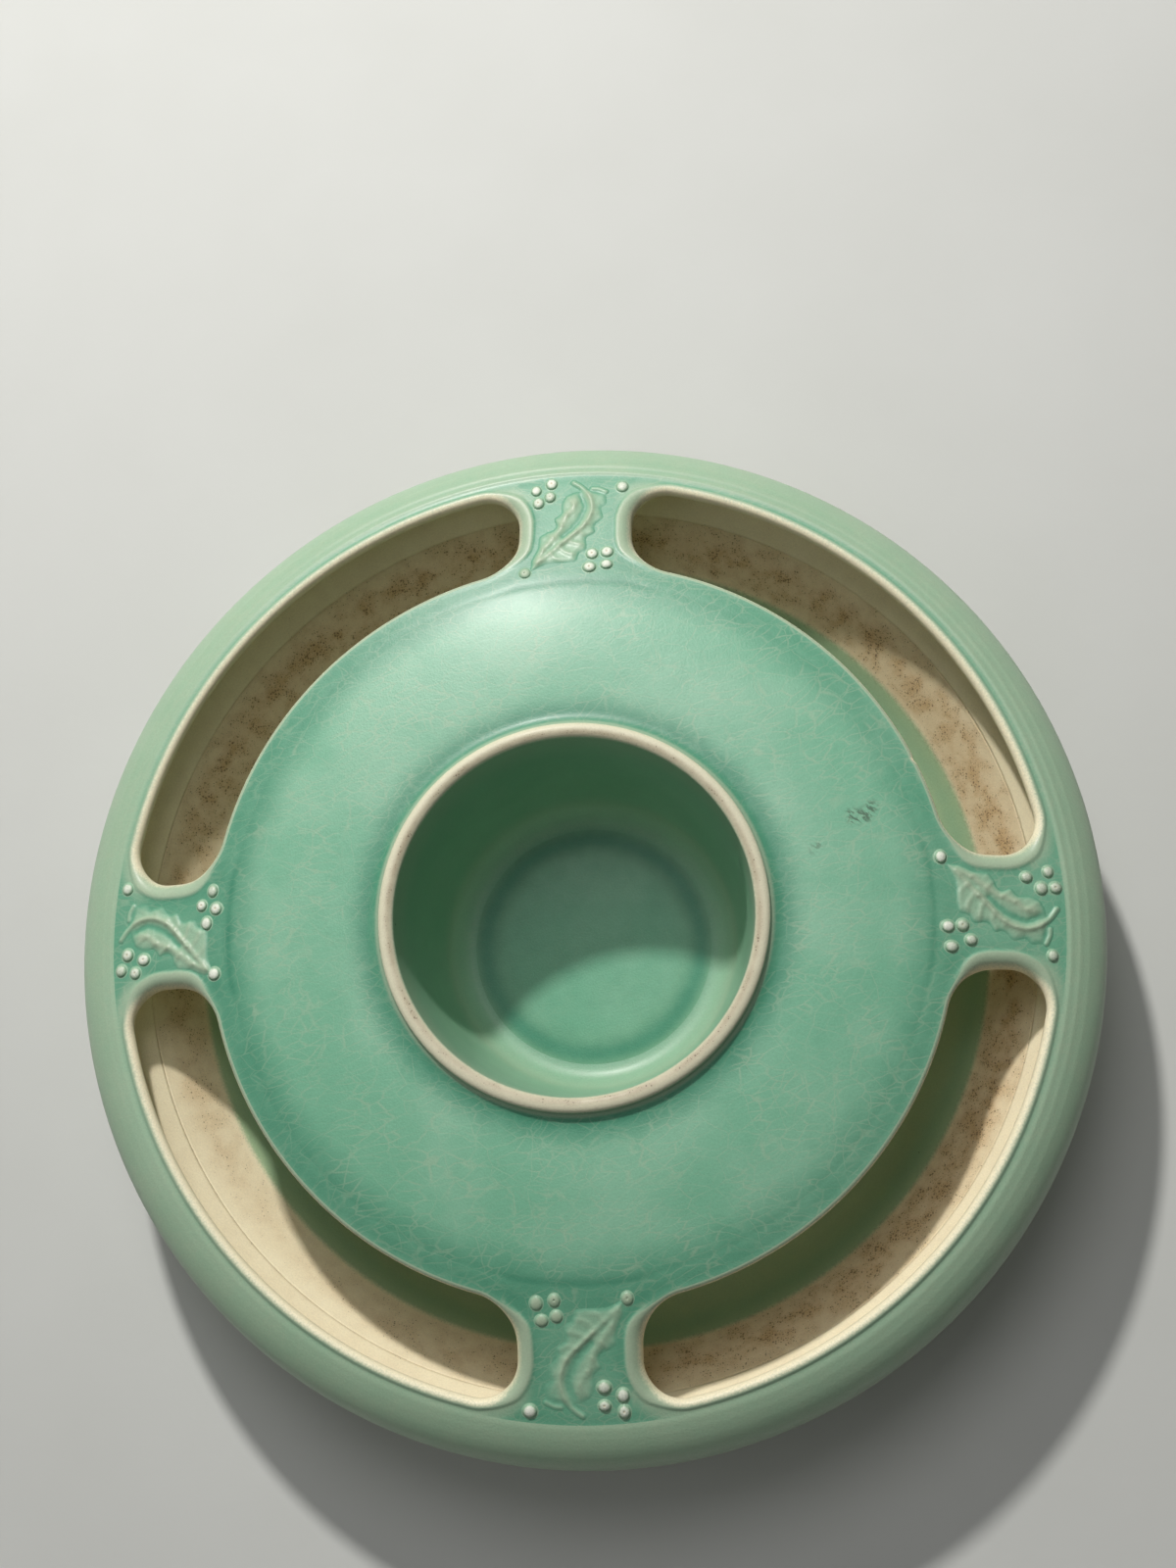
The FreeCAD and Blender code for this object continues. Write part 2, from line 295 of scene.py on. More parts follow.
# ---- the cover -------------------------------------------------------------
def deck_z(r):
    """Upper face of the cover, from the well's rim to the groove."""
    r = np.asarray(r, float)
    out = np.clip((r - DISC_FLAT_R) / (STEP_R - DISC_FLAT_R), 0.0, 1.0)
    disc = DISC_Z - (DISC_Z - STEP_Z) * out ** 2
    collar = COLLAR_H * np.clip((COLLAR_R - r) / (COLLAR_R - COLLAR_IN_R), 0.0, 1.0) ** 2.8
    panel = (GROOVE_Z - STEP_Z) * np.maximum(r - STEP_R, 0.0) / (GROOVE_R - STEP_R)
    return disc + collar + panel - GROOVE_DEPTH * bell(r, GROOVE_R, 1.0)


def crease(r, slot_distance):
    """Depth of the faint step where a bridge meets the disc."""
    return 0.09 * bell(r, STEP_R, 1.1) * smoothstep(3.5, 7.0, slot_distance)


def under_z(r):
    """Lower face of the cover."""
    return STEP_Z - DECK_T + (GROOVE_Z - STEP_Z) * (np.asarray(r, float) - STEP_R) / (GROOVE_R - STEP_R)


def crispness(x, y):
    """How clearly the groove and the ribs stand out: most in the north, least in the south."""
    return (0.62 + 0.38 * np.sin(np.arctan2(y, x) + math.radians(10))) ** 2


def deck_masks(flat, slot_distance):
    """Masks of the cover's upper face at points x, y and their distance from a slot."""
    r = np.hypot(*flat.T)
    west = 0.5 - 0.5 * flat[:, 0] / r
    rim_pool = 0.80 * bell(r, 48.8, 3.8)
    edge_pool = (0.40 + 0.24 * west) * smoothstep(74.0, 83.0, r) - 0.16 * smoothstep(87.0, 94.0, r)
    beside_slot = smoothstep(104.0, 110.5, r) * smoothstep(7.0, 3.5, slot_distance)
    step_line = 0.26 * bell(r, STEP_R, 0.9) * smoothstep(5.0, 7.5, slot_distance)
    near_lip = 0.16 * bell(slot_distance, 4.4, 1.8) * smoothstep(84.0, 87.0, r)
    groove = crispness(*flat.T) * bell(r, GROOVE_R, 0.9)
    pool = np.maximum(rim_pool, edge_pool) * (1 - 0.6 * beside_slot) + step_line + near_lip + 0.10 * groove
    pool = np.clip(pool, 0, 1)
    thin = 0.7 * smoothstep(47.2, 46.4, r) + 0.7 * beside_slot * (1 - 0.75 * groove)
    bare = 0.25 * smoothstep(46.9, 46.4, r)
    return np.stack([thin, bare, pool, np.zeros_like(r)], -1)


def arc_points(centre, radius, start, end):
    """Points of an arc, both ends included; angles in radians."""
    count = max(2, int(abs(end - start) * radius / ARC_STEP))
    angles = np.linspace(start, end, count + 1)
    return np.stack([centre[0] + radius * np.cos(angles), centre[1] + radius * np.sin(angles)], 1)


def slot_end(direction, half, side):
    """One end of a slot beside a bridge, from its inner to its outer edge."""
    y_in = half + SLOT_CORNER_IN
    x_in = math.sqrt((SLOT_IN_R + SLOT_CORNER_IN) ** 2 - y_in ** 2)
    y_out = half + SLOT_CORNER_OUT
    x_out = math.sqrt((SLOT_OUT_R - SLOT_CORNER_OUT) ** 2 - y_out ** 2)
    toward_axis = math.atan2(-y_in, -x_in) + 2 * math.pi
    inner = arc_points((x_in, y_in), SLOT_CORNER_IN, toward_axis, 1.5 * math.pi)
    outer = arc_points((x_out, y_out), SLOT_CORNER_OUT, -0.5 * math.pi, math.atan2(y_out, x_out))
    points = np.vstack([inner, outer])
    x, y = turned(points[:, 0], side * points[:, 1], direction)
    return np.stack([x, y], 1)


def slot_outline(start_bridge, end_bridge):
    """Closed outline of the slot between two bridges, evenly spaced."""
    start = slot_end(*BRIDGES[start_bridge], 1)
    end = slot_end(*BRIDGES[end_bridge], -1)[::-1]

    def between(p, q, radius):
        a = math.atan2(p[1], p[0])
        b = math.atan2(q[1], q[0])
        b = a + (b - a + math.pi) % (2 * math.pi) - math.pi
        return arc_points((0, 0), radius, a, b)[1:-1]

    loop = np.vstack([start, between(start[-1], end[0], SLOT_OUT_R),
                      end, between(end[-1], start[0], SLOT_IN_R)])
    closed = np.vstack([loop, loop[:1]])
    along = np.concatenate([[0], np.cumsum(np.hypot(*np.diff(closed, axis=0).T))])
    count = int(along[-1] / LOOP_STEP)
    at = np.arange(count) * along[-1] / count
    return np.stack([np.interp(at, along, closed[:, k]) for k in (0, 1)], 1)


def outward(loop):
    """Unit normals of a slot's outline, pointing into the clay."""
    tangent = np.roll(loop, -1, axis=0) - np.roll(loop, 1, axis=0)
    tangent /= np.hypot(*tangent.T)[:, None]
    normal = np.stack([tangent[:, 1], -tangent[:, 0]], 1)
    for _ in range(3):
        normal = np.roll(normal, 1, axis=0) + 2 * normal + np.roll(normal, -1, axis=0)
        normal /= np.hypot(*normal.T)[:, None]
    return normal


def lip_shape(loop):
    """How wide and how round the lip is at each point of a slot's outline."""
    r = np.hypot(*loop.T)
    across = (r - SLOT_IN_R) / (SLOT_OUT_R - SLOT_IN_R)
    end = smoothstep(0.02, 0.30, across) * (1 - smoothstep(0.80, 0.99, across))
    edge_out = smoothstep(0.80, 0.99, across)
    width = 2.3 + 2.3 * end + 0.6 * edge_out
    round_r = 0.9 + 2.4 * end + 1.1 * edge_out
    drop = 0.9 + 2.3 * end + 1.4 * edge_out
    bead = 0.05 + 0.30 * end + 0.26 * edge_out
    undercut = UNDERCUT * (1 - 0.75 * end)
    return width, round_r, drop, bead, undercut, end, edge_out


def slot_collar(shell, loop):
    """Rounded lip of a slot and its leaning wall; returns the two rims."""
    normal = outward(loop)
    width, round_r, drop, bead, undercut, end, edge_out = lip_shape(loop)
    notch = 0.75 * np.exp(-(np.hypot(loop[:, 0] - CHIP_AT[0], loop[:, 1] - CHIP_AT[1]) / 0.9) ** 2)
    loop = loop + normal * notch[:, None]
    edge_start = 0.35 * end + 0.25 * (1 - smoothstep(0.0, 0.2, bead - 0.05))
    count = len(loop)
    rings = []

    def ring(distance, lower, bare, thin, pool):
        xy = loop + normal * distance[:, None]
        r = np.hypot(*xy.T)
        z = deck_z(r) - lower
        masks = np.stack([thin, bare, pool, np.zeros(count)], 1)
        rings.append(shell.add(np.column_stack([xy, z]), masks))
        return xy

    one = np.ones(count)
    top_xy = None
    for t in np.linspace(0.0, 1.0, 8)[:-1]:
        distance = width + (round_r - width) * t
        lift = bead * smoothstep(0.0, 1.0, t * one)
        thin = 0.85 * smoothstep(0.2, 0.9, t * one) * smoothstep(0.0, 0.3, bead)
        base = deck_masks(loop + normal * distance[:, None], distance)
        bare = np.maximum(base[:, 1], 0.30 * edge_out * smoothstep(0.6, 1.0, t * one))
        xy = ring(distance, -lift, bare, np.maximum(thin, base[:, 0]), base[:, 2] * (1 - thin))
        top_xy = xy if top_xy is None else top_xy
    for a in np.linspace(0.0, math.pi / 2, 10):
        distance = round_r * (1 - math.sin(a))
        lower = drop * (1 - math.cos(a)) - bead * math.cos(a)
        over = np.clip((math.sin(a) - edge_start) / (1 - edge_start), 0, 1)
        bare = (0.64 - 0.20 * edge_out) * over ** 0.6 + 0.36 * edge_out + notch
        ring(distance, lower, np.minimum(bare, 1), 0.95 * one, 0.1 * (1 - math.sin(a)) * one)
    for share in (0.12, 0.3, 0.6):
        fall = drop + (DECK_T - 0.4 - drop) * share
        ring(undercut * share ** 1.5, fall, min(1.0, 0.6 + 1.4 * share) * one, 0.6 * one, 0 * one)
    last = loop + normal * undercut[:, None]
    r = np.hypot(*last.T)
    masks = np.tile([0.2, 1.0, 0.0, 0.15], (count, 1))
    rings.append(shell.add(np.column_stack([last, under_z(r)]), masks))
    for first, second in zip(rings[:-1], rings[1:]):
        shell.join_rings(first, second, count)
    return top_xy, last


def circle(radius):
    """One point for each segment, round the axis."""
    angles = np.arange(SEGMENTS) * 2 * math.pi / SEGMENTS
    return np.stack([radius * np.cos(angles), radius * np.sin(angles)], 1)


def nearest(x, y, points):
    """Distance to the nearest of the points, worked through in blocks."""
    flat = np.stack([np.ravel(x), np.ravel(y)], 1)
    best = np.empty(len(flat))
    for i in range(0, len(flat), 2000):
        block = flat[i:i + 2000]
        gap = block[:, None, :] - points[None, :, :]
        best[i:i + 2000] = np.sqrt((gap ** 2).sum(-1).min(1))
    return best.reshape(np.shape(x))


def sheet_between(shell, inner_r, outer_r, holes, surface, spacing):
    """Triangulated sheet between two circles, round the slots' loops."""
    loops = [circle(inner_r), circle(outer_r)] + holes
    edge_points = np.vstack(loops)
    grid = []
    rows = int(2 * outer_r / (spacing * 0.866))
    for j in range(rows):
        y = -outer_r + j * spacing * 0.866
        x = np.arange(-outer_r, outer_r, spacing) + (spacing / 2 if j % 2 else 0)
        grid.append(np.stack([x, np.full_like(x, y)], 1))
    grid = np.vstack(grid)
    r = np.hypot(*grid.T)
    grid = grid[(r > inner_r + 0.3) & (r < outer_r - 0.3)]
    for hole in holes:
        grid = grid[~inside(grid[:, 0], grid[:, 1], hole)]
    grid = grid[nearest(grid[:, 0], grid[:, 1], edge_points) > spacing * 0.55]
    points = np.vstack([edge_points, grid])
    edges = []
    start = 0
    for loop in loops:
        count = len(loop)
        edges += [(start + i, start + (i + 1) % count) for i in range(count)]
        start += count
    made = delaunay_2d_cdt([Vector(p) for p in points], edges, [], 0, 1e-7)
    flat = np.array([tuple(v) for v in made[0]])
    triangles = np.array([f for f in made[2] if len(f) == 3])
    centre = flat[triangles].mean(1)
    r = np.hypot(*centre.T)
    keep = (r > inner_r) & (r < outer_r)
    for hole in holes:
        keep &= ~inside(centre[:, 0], centre[:, 1], hole)
    z, masks = surface(flat)
    first = shell.add(np.column_stack([flat, z]), masks)
    shell.faces.extend(tuple(int(first + k) for k in t) for t in triangles[keep])


def flank_masks(z):
    """Masks of the outside: the glaze runs thin towards the bottom, and brown added towards the bottom is
    painted shade.
    """
    low = float(smoothstep(BODY_R_Z + 2.0, FOOT_H + 1.0, z))
    seam = float(bell(z, BODY_R_Z, 0.5))
    # painted shade: the fourth mask rises towards the bottom to darken the lower flank
    return (0.80 + 0.2 * seam, max(0.14 + 0.36 * low, 0.46 * seam), 0.0, 0.10 + 0.25 * low)


def shoulder_rows(top):
    """Outside of the shoulder, over the ribs to the widest radius and the joint."""
    groove_here = GROOVE_DEPTH * bell(SHEET_OUT_R, GROOVE_R, 1.0)
    start = np.array((SHEET_OUT_R, float(deck_z(SHEET_OUT_R) + groove_here)))
    slope = (GROOVE_Z - STEP_Z) / (GROOVE_R - STEP_R)
    end = np.array((BODY_R - 0.14, BODY_R_Z))
    pull = (start + np.array((4.6, 4.6 * slope)), end + np.array((0.0, 5.0)))
    crisp = crispness(*circle(1.0).T)
    rows = [(SHEET_OUT_R, *top(circle(SHEET_OUT_R)))]
    for t in np.linspace(0.0, 1.0, 130)[1:]:
        r, z = ((1 - t) ** 3 * start + 3 * (1 - t) ** 2 * t * pull[0]
                + 3 * (1 - t) * t ** 2 * pull[1] + t ** 3 * end)
        groove = float(bell(r, GROOVE_R, 1.0))
        ribs = float(sum(height * bell(r, crest, width) for crest, height, width in RIBS))
        valley = max(0.0, 1 - ribs / 0.07) * float(smoothstep(121.5, 116.0, r))
        blend = float(smoothstep(BODY_R_Z + 7.0, BODY_R_Z + 0.5, z))
        upper = np.stack([0.74 - (0.16 * valley + 0.45 * groove) * crisp, np.zeros(SEGMENTS),
                          (0.12 * valley + 0.45 * groove) * crisp, np.zeros(SEGMENTS)], 1)
        r += 0.14 * float(bell(z, BODY_R_Z, 0.45))
        rows.append((r, z + ribs * crisp - GROOVE_DEPTH * groove,
                     upper * (1 - blend) + np.array(flank_masks(z)) * blend))
    for r, z in ((BODY_R - 0.05, BODY_R_Z - 0.35), (BODY_R - 0.13, BODY_R_Z - 0.8),
                 (BODY_R - 0.2, BODY_R_Z - 2.2), (JOINT_OUT_R, JOINT_Z)):
        rows.append((r, z, flank_masks(z)))
    return rows


def cover_shell():
    """Cover: lips of the slots, sheets round them, disc, shoulder, pocket and lower face."""
    shell = Shell()
    names = list(BRIDGES)
    outlines = [slot_outline(names[i], names[(i + 1) % len(names)]) for i in range(len(names))]
    rims = [slot_collar(shell, loop) for loop in outlines]
    lip_points = np.vstack(outlines)

    def top(flat):
        r = np.hypot(*flat.T)
        slot_distance = nearest(flat[:, 0], flat[:, 1], lip_points)
        masks = deck_masks(flat, slot_distance)
        for x, y, strength in SMUDGES:
            masks[:, 3] += strength * np.exp(-((flat[:, 0] - x) ** 2 + (flat[:, 1] - y) ** 2) / 4.5)
        return deck_z(r) - crease(r, slot_distance), masks

    def under(flat):
        return under_z(np.hypot(*flat.T)), np.tile([0.2, 1.0, 0.0, 0.2], (len(flat), 1))

    sheet_between(shell, SHEET_IN_R, SHEET_OUT_R, [upper for upper, _ in rims], top, 1.0)
    sheet_between(shell, SHEET_IN_R, SHEET_UNDER_R, [lower for _, lower in rims], under, 3.0)

    disc_r = np.concatenate([np.arange(COLLAR_IN_R, COLLAR_R, 0.3), np.arange(COLLAR_R, 80.0, 0.75),
                             np.arange(80.0, SHEET_IN_R - 0.05, 0.25), [SHEET_IN_R]])
    lathe(shell, [(r, *top(circle(r))) for r in disc_r])
    pocket = catmull([(JOINT_IN_R, JOINT_Z), (113.9, 38.6), (114.7, 40.8),
                      (SHEET_UNDER_R, float(under_z(SHEET_UNDER_R)))], 6)
    lathe(shell, shoulder_rows(top) + rows_of([(JOINT_IN_R, JOINT_Z)], 0, 1, 0, 0.8)
          + rows_of(pocket[1:], 0, 1, 0, 0.25))
    lathe(shell, rows_of([(SHEET_IN_R, float(under_z(SHEET_IN_R))), (65.0, DISC_Z - DECK_T - 0.4),
                          (COLLAR_IN_R, DISC_Z - DECK_T), (COLLAR_IN_R, float(deck_z(COLLAR_IN_R)))],
                         0.2, 0.6, 0.2, 0.1))
    return shell


# ---- the bowl, the foot and the well ---------------------------------------
def inside_masks(r):
    """Masks round the bowl's inside at radius r: green floor, then cream, with a speckled band.

    The clay is left cream in the south-west, where it is lit, and painted brown elsewhere as painted shade.
    """
    if r < WELL_FOOT_IN_R + 4.0:
        ring = float(bell(r, POOL_R, 3.6))
        return (0.38 * (1 - ring) * float(smoothstep(20.0, 34.0, r)), 0.0, 0.42 + 0.58 * ring, 0.10)
    bare = float(smoothstep(GREEN_END_R, CREAM_R, r))
    edge = float(bell(r, CREAM_R - 0.6, 1.8))
    speckled = float(bell(r, SPECKLED_R, 3.0))
    green_edge = float(bell(r, GREEN_END_R - 0.8, 2.4))
    x, y = circle(1.0).T
    unshaded = bell(np.hypot(x - UNSHADED_AT[0], y - UNSHADED_AT[1]), 0.0, 0.62)
    # painted shade: brown laid on the cream away from the lit south-west; the other terms are speckle and
    # stain
    stain_and_shade = (0.10 + 0.22 * edge + 0.44 * speckled + 0.60 * (1 - unshaded)) * (0.3 + 0.7 * bare)
    masks = np.empty((SEGMENTS, 4))
    # the trough floor's thin glaze takes the pale olive that carries painted bounce light
    masks[:] = (0.95 - 0.30 * green_edge, bare, 0.20 * green_edge * (1 - bare), 0.0)
    masks[:, 3] = stain_and_shade
    return masks


def bowl_shell():
    """Bowl from the middle of its floor, up the inside, down the outside and under.

    The joint with the cover is wiped flush inside and has a low bead of slip outside.
    """
    shell = Shell()
    floor = [(0.0, FLOOR_Z)] + [(r, FLOOR_Z) for r in np.arange(1.0, WELL_FOOT_OUT_R, 0.75)]
    floor += [(r, FLOOR_Z) for r in np.arange(WELL_FOOT_OUT_R + 1.5, 79.0, 2.0)]
    trough = catmull([(80.0, FLOOR_Z), (86.0, 11.3), (91.2, 13.4), (95.6, 17.2), (99.5, 21.6),
                      (104.4, 27.4), (108.7, 32.3)], 12)
    bead_in = [(JOINT_IN_R - 0.27, JOINT_Z - 0.30), (JOINT_IN_R - 0.03, JOINT_Z),
               (JOINT_IN_R + 0.28, JOINT_Z + 0.42), (JOINT_IN_R + 0.7, JOINT_Z + 0.5)]
    bead_out = [(JOINT_OUT_R - 0.3, JOINT_Z + 0.7), (JOINT_OUT_R + 0.12, JOINT_Z + 0.45),
                (JOINT_OUT_R + 0.12, JOINT_Z), (JOINT_OUT_R - 0.15, JOINT_Z - 0.8)]
    belly = catmull([bead_out[-1], (120.2, 24.4), (110.4, 15.2), (97.0, 9.0), (FOOT_OUT_R, FOOT_H)], 14)[1:]
    rows = [(float(r), float(z), inside_masks(r)) for r, z in floor + list(trough) + bead_in]
    rows += [(float(r), float(z), flank_masks(z)) for r, z in bead_out + list(belly)]
    rows += rows_of([(r, FOOT_H) for r in (83.0, 80.0, 76.0, 60.0, 40.0, 20.0, 0.0)], 0.5, 0.3, 0.1, 0.2)
    lathe(shell, rows)
    return shell


def foot_shell():
    """Foot ring with rounded edges."""
    shell = Shell()
    out_r, in_r = FOOT_OUT_R, FOOT_OUT_R - 8.5
    inner = [(in_r, FOOT_H), (in_r + 0.4, 1.4), (in_r + 0.9, 0.5), (in_r + 1.9, 0.08), (in_r + 2.6, 0.0)]
    outer = [(out_r - 2.6, 0.0), (out_r - 1.9, 0.08), (out_r - 0.9, 0.5), (out_r - 0.5, 1.4), (out_r, FOOT_H)]
    lathe(shell, rows_of(inner + outer + inner[:1], 0.2, 1.0, 0.0, 0.2))
    return shell


def well_shell():
    """Tube of the well: inside wall, rim, outside wall, foot."""
    shell = Shell()
    inside_wall = catmull([(FILLET_R, FLOOR_Z - 0.04), (32.6, FLOOR_Z + 0.35),
                           (34.6, FLOOR_Z + 1.4), (36.4, FLOOR_Z + 3.6), (37.6, 18.0), (38.8, 23.0),
                           (39.9, 31.0), (41.0, 43.0), (41.8, 54.0), (RIM_IN_R, RIM_ROUND_Z)], 10)
    rows = []
    for r, z in inside_wall:
        ring = float(bell(r, POOL_R, 3.6)) * float(smoothstep(FLOOR_Z + 6.0, FLOOR_Z + 1.0, z))
        high = float(smoothstep(RIM_Z - 16.0, RIM_Z - 2.0, z))
        wall = 0.38 + 0.34 * high + 0.28 * float(bell(z, FLOOR_Z + 4.0, 2.4))
        rows.append((float(r), float(z), (wall * (1 - ring), 0.34 * high ** 2, 0.10 + 0.90 * ring, 0.04)))
    half = (RIM_OUT_R - RIM_IN_R) / 2
    middle = RIM_IN_R + half
    for a in np.linspace(math.pi, 0.0, 19)[1:]:
        crown = math.sin(a)
        worn = float(bell(math.degrees(a), 112.0, 26.0))
        bare = 0.36 + 0.5 * float(smoothstep(0.25, 0.75, crown))
        z = RIM_ROUND_Z + (RIM_Z - RIM_ROUND_Z) * crown ** 0.85
        rows.append((middle + half * math.cos(a), z, (0.9, bare, 0.0, 0.10 + 0.75 * worn)))
    rows += rows_of([(RIM_OUT_R, RIM_ROUND_Z - 0.6)], 0.8, 0.3, 0.1)
    rows += rows_of([(RIM_OUT_R, DISC_Z - DECK_T), (44.0, 30.0), (WELL_FOOT_OUT_R, FLOOR_Z)], 0.2, 0.3, 0.2)
    rows += rows_of([(FILLET_R, FLOOR_Z - 0.04)], 0.2, 0.3, 0.2)
    lathe(shell, rows)
    return shell


# ---- relief ----------------------------------------------------------------
def leaf_height(x, y):
    """Height of the leaf above the panel, slightly negative outside it."""
    outline = catmull(LEAF_OUTLINE + LEAF_OUTLINE[:1], 5)
    depth = distance_to_line(x, y, outline)
    depth = np.where(inside(x, y, outline[:-1]), depth, -depth)
    blade = smoothstep(-0.5, 1.7, depth)
    middle = np.interp(x, *zip(*LEAF_MIDDLE))
    faint = smoothstep(-0.5, -3.0, y - middle) * smoothstep(95.5, 100.0, x)
    height = (LEAF_H + 0.07) * blade * (1 - 0.35 * faint) - 0.07
    for points, size, half_width in LEAF_STROKES:
        line = catmull(points, 6) if len(points) > 2 else np.array(points)
        ridge = size * np.exp(-((distance_to_line(x, y, line) / half_width) ** 2))
        height = height + (ridge if size > 0.3 else ridge * blade)
    waves = np.sin(1.9 * x + 0.8 * y + 1.4 * np.sin(1.1 * y))
    waves = waves * np.sin(1.7 * y - 0.9 * x + 1.2 * np.sin(1.3 * x))
    return height + 0.03 * waves * blade


def leaf_shell(direction, drowned):
    """Leaf of one bridge; drowned is 1 where thick glaze hides much of its height, else 0."""
    shell = Shell()
    step = 0.22
    xs = np.arange(85.0, GROOVE_R + 0.2, step)
    ys = np.arange(-11.0, 12.6, step)
    x, y = np.meshgrid(xs, ys)
    height = leaf_height(x, y)
    height = np.where(height > 0, height * (1 - 0.35 * drowned), height)
    z = deck_z(np.hypot(x, y)) + height
    wx, wy = turned(x, y, direction)
    thin = 0.50 * smoothstep(0.02, 0.32, height) + 0.45 * smoothstep(0.30, 0.75, height)
    pool = (0.50 - 0.20 * drowned) * (1 - smoothstep(0.0, 0.30, height))
    bare = 0.24 * smoothstep(0.45, 0.9, height)
    masks = np.stack([thin, bare, pool, np.zeros_like(x)], -1)
    first = shell.add(np.stack([wx, wy, z], -1).reshape(-1, 3), masks.reshape(-1, 4))
    shown = height > -0.05
    columns = len(xs)
    for j in range(len(ys) - 1):
        for i in range(columns - 1):
            if shown[j:j + 2, i:i + 2].any():
                k = first + j * columns + i
                shell.faces.append((k, k + 1, k + 1 + columns, k + columns))
    return shell


def berries_shell(bridge, direction):
    """Ten glaze-covered domes with a small meniscus at the foot of each; a few are drowned in glaze."""
    shell = Shell()
    rng = random.Random(bridge)
    around = 36
    rings = np.concatenate([np.linspace(1.40, 1.0, 5), np.cos(np.linspace(0.0, math.pi / 2, 13))[1:-1]])
    for number, (x0, y0) in enumerate(BERRIES[bridge]):
        size = BERRY_R * rng.uniform(0.90, 1.04)
        pit = rng.random() < 0.5
        faint = (bridge, number) in FAINT_BERRIES
        dome_h = BERRY_H * (0.6 if faint else rng.uniform(0.86, 1.0))
        white = 0.24 if faint else rng.uniform(0.50, 0.72)
        stretch = rng.uniform(-0.08, 0.08)
        before = None
        for t in rings:
            dome = dome_h * max(0.0, 1 - t * t) ** 0.62 if t < 1 else 0.0
            skirt = 0.16 * math.exp(-max(0.0, t - 1.0) * 6.0) - 0.04
            dip = 0.22 * math.exp(-((t / 0.16) ** 2)) if pit else 0.0
            a = np.arange(around) * 2 * math.pi / around
            x = x0 + size * t * np.cos(a) * (1 + stretch)
            y = y0 + size * t * np.sin(a) * (1 - stretch)
            z = deck_z(np.hypot(x, y)) + dome + skirt - dip
            wx, wy = turned(x, y, direction)
            light = float(smoothstep(0.10, 0.95, dome / dome_h))
            mask = (0.45 + 0.55 * light, white * light ** 0.7, 0.1 * (1 - light),
                    0.8 if pit and t < 0.2 else 0.0)
            ring = shell.add(np.stack([wx, wy, z], 1), [mask] * around)
            if before is not None:
                shell.join_rings(before, ring, around)
            before = ring
        wx, wy = turned(x0, y0, direction)
        top = shell.add([(wx, wy, float(deck_z(math.hypot(x0, y0))) + dome_h + 0.12 - (0.22 if pit else 0))],
                        [(1.0, white, 0.0, 0.8 if pit else 0.0)])
        shell.faces.extend((before + i, before + (i + 1) % around, top) for i in range(around))
    return shell


# ---- materials -------------------------------------------------------------
def srgb(r, g, b):
    """Linear colour, with alpha, of an 8-bit display colour."""
    def linear(c):
        c /= 255.0
        return c / 12.92 if c <= 0.04045 else ((c + 0.055) / 1.055) ** 2.4

    return (linear(r), linear(g), linear(b), 1.0)


